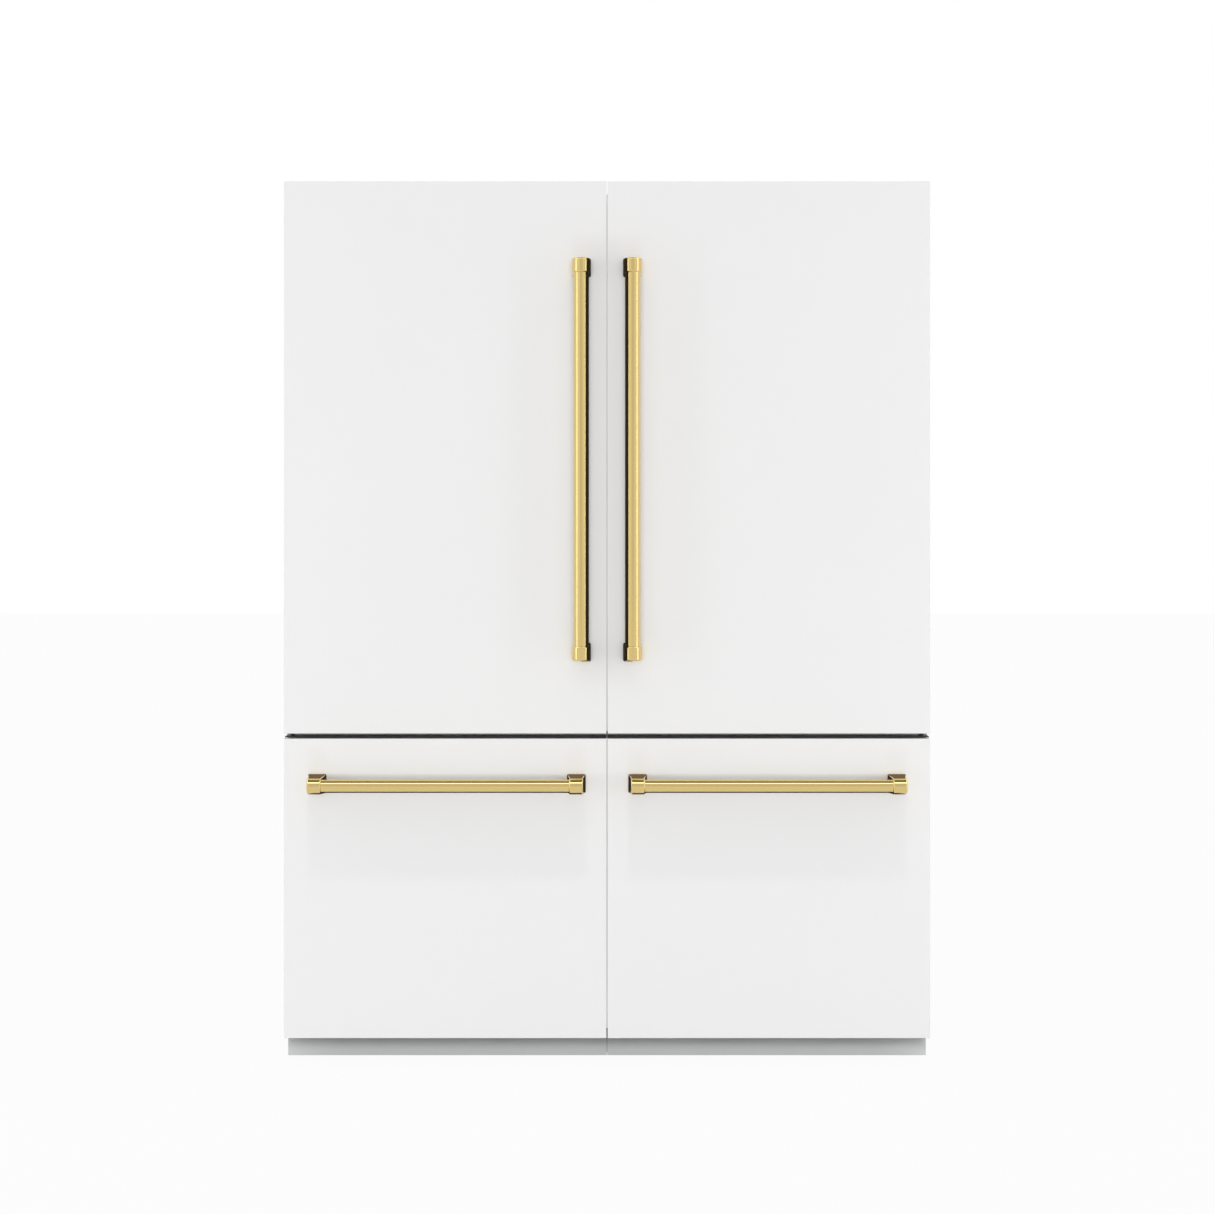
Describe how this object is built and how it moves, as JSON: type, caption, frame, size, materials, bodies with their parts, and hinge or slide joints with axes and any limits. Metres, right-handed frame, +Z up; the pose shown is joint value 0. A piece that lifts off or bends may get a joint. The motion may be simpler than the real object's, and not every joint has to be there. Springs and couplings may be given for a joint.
{
  "type": "french door refrigerator",
  "caption": "Twin built-in refrigerator: mirrored units with flat white slab doors over freezer drawers, gold bar handles, shelves, bins, baskets and a recessed toe-kick.",
  "frame": {"origin": "on the floor, in the middle of the footprint", "axes": "+X to the viewer's right, the doors face -Y, +Z up"},
  "size_m": [1.514, 0.6879, 2.066],
  "materials": {
    "front_white": "matte",
    "handle_gold": "polished",
    "case_steel": "satin",
    "foam": "matte",
    "core_grey": "satin",
    "liner_white": "satin",
    "frame_steel": "satin",
    "feet_black": "matte",
    "toe_kick_grey": "satin",
    "rail_grey": "satin",
    "hinge_black": "satin",
    "shelf_glass": "polished",
    "shelf_trim": "satin",
    "duct_white": "satin",
    "led_lens": "satin",
    "fin_aluminium": "satin",
    "condenser_black": "satin",
    "compressor_black": "satin",
    "motor_grey": "satin",
    "cover_galvanised": "satin",
    "gland_rubber": "matte",
    "slide_steel": "satin",
    "gasket_grey": "matte",
    "clear_plastic": "polished",
    "basket_plastic": "satin",
    "fan_black": "satin",
    "fan_white": "satin"
  },
  "bodies": {
    "cabinet": {"outer_cases": "case_steel", "insulation_boards": "foam", "fridge_liners": "liner_white", "freezer_liners": "liner_white", "base_frames": "frame_steel", "levelling_feet": "feet_black", "toe_kicks": "toe_kick_grey", "mid_rails": "rail_grey", "hinge_brackets": "hinge_black", "shelf_glass": "shelf_glass", "shelf_frames": "shelf_trim", "duct_covers": "duct_white", "led_strips": "led_lens", "evaporators": "fin_aluminium", "condensers": "condenser_black", "compressors": "compressor_black", "fan_motors": "motor_grey", "machine_covers": "cover_galvanised", "cord_glands": "gland_rubber", "slide_rails_fixed": "slide_steel"},
    "right_door": {"door_panel_right": "front_white", "door_core_right": "core_grey", "door_liner_right": "liner_white", "door_gasket_right": "gasket_grey", "door_bins_right": "clear_plastic", "door_handle_bar_right": "handle_gold", "door_handle_posts_right": "handle_gold"},
    "right_drawer": {"drawer_panel_right": "front_white", "drawer_core_right": "core_grey", "drawer_gasket_right": "gasket_grey", "drawer_handle_bar_right": "handle_gold", "drawer_handle_posts_right": "handle_gold", "freezer_basket_right": "basket_plastic", "slide_rails_moving_right": "slide_steel"},
    "right_slides": {"slide_rails_middle_right": "slide_steel"},
    "right_tray": {"freezer_tray_right": "basket_plastic"},
    "right_inner_crisper": {"crisper_inner_right": "clear_plastic"},
    "right_outer_crisper": {"crisper_outer_right": "clear_plastic"},
    "right_condenser_fan": {"condenser_fan_right": "fan_black"},
    "right_evaporator_fan": {"evaporator_fan_right": "fan_white"},
    "left_door": {"door_panel_left": "front_white", "door_core_left": "core_grey", "door_liner_left": "liner_white", "door_gasket_left": "gasket_grey", "door_bins_left": "clear_plastic", "door_handle_bar_left": "handle_gold", "door_handle_posts_left": "handle_gold"},
    "left_drawer": {"drawer_panel_left": "front_white", "drawer_core_left": "core_grey", "drawer_gasket_left": "gasket_grey", "drawer_handle_bar_left": "handle_gold", "drawer_handle_posts_left": "handle_gold", "freezer_basket_left": "basket_plastic", "slide_rails_moving_left": "slide_steel"},
    "left_slides": {"slide_rails_middle_left": "slide_steel"},
    "left_tray": {"freezer_tray_left": "basket_plastic"},
    "left_inner_crisper": {"crisper_inner_left": "clear_plastic"},
    "left_outer_crisper": {"crisper_outer_left": "clear_plastic"},
    "left_condenser_fan": {"condenser_fan_left": "fan_black"},
    "left_evaporator_fan": {"evaporator_fan_left": "fan_white"}
  },
  "joints": [
    {"name": "right_door_hinge", "type": "hinge", "parent": "cabinet", "child": "right_door", "pos_m": [0.741, -0.234, 0.7645], "axis": [0, 0, 1], "range_deg": [0, 110]},
    {"name": "right_drawer_slide", "type": "slide", "parent": "cabinet", "child": "right_drawer", "axis": [0, -1, 0], "range_m": [0, 0.45]},
    {"name": "right_slides_travel", "type": "slide", "parent": "cabinet", "child": "right_slides", "axis": [0, -1, 0], "range_m": [0, 0.225]},
    {"name": "right_tray_slide", "type": "slide", "parent": "right_drawer", "child": "right_tray", "axis": [0, 1, 0], "range_m": [0, 0.165]},
    {"name": "right_inner_crisper_slide", "type": "slide", "parent": "cabinet", "child": "right_inner_crisper", "axis": [0, -1, 0], "range_m": [0, 0.125]},
    {"name": "right_outer_crisper_slide", "type": "slide", "parent": "cabinet", "child": "right_outer_crisper", "axis": [0, -1, 0], "range_m": [0, 0.125]},
    {"name": "right_condenser_fan_spin", "type": "hinge", "parent": "cabinet", "child": "right_condenser_fan", "pos_m": [0.196, 0.225, 0.19], "axis": [1, 0, 0], "continuous": true},
    {"name": "right_evaporator_fan_spin", "type": "hinge", "parent": "cabinet", "child": "right_evaporator_fan", "pos_m": [0.37925, 0.262, 0.655], "axis": [0, 1, 0], "continuous": true},
    {"name": "left_door_hinge", "type": "hinge", "parent": "cabinet", "child": "left_door", "pos_m": [-0.741, -0.234, 0.7645], "axis": [0, 0, -1], "range_deg": [0, 110]},
    {"name": "left_drawer_slide", "type": "slide", "parent": "cabinet", "child": "left_drawer", "axis": [0, -1, 0], "range_m": [0, 0.45]},
    {"name": "left_slides_travel", "type": "slide", "parent": "cabinet", "child": "left_slides", "axis": [0, -1, 0], "range_m": [0, 0.225]},
    {"name": "left_tray_slide", "type": "slide", "parent": "left_drawer", "child": "left_tray", "axis": [0, 1, 0], "range_m": [0, 0.165]},
    {"name": "left_inner_crisper_slide", "type": "slide", "parent": "cabinet", "child": "left_inner_crisper", "axis": [0, -1, 0], "range_m": [0, 0.125]},
    {"name": "left_outer_crisper_slide", "type": "slide", "parent": "cabinet", "child": "left_outer_crisper", "axis": [0, -1, 0], "range_m": [0, 0.125]},
    {"name": "left_condenser_fan_spin", "type": "hinge", "parent": "cabinet", "child": "left_condenser_fan", "pos_m": [-0.196, 0.225, 0.19], "axis": [-1, 0, 0], "continuous": true},
    {"name": "left_evaporator_fan_spin", "type": "hinge", "parent": "cabinet", "child": "left_evaporator_fan", "pos_m": [-0.37925, 0.262, 0.655], "axis": [0, 1, 0], "continuous": true}
  ],
  "couplings": [
    {"joint": "right_slides_travel", "follows": "right_drawer_slide", "ratio": 0.5},
    {"joint": "left_slides_travel", "follows": "left_drawer_slide", "ratio": 0.5}
  ]
}
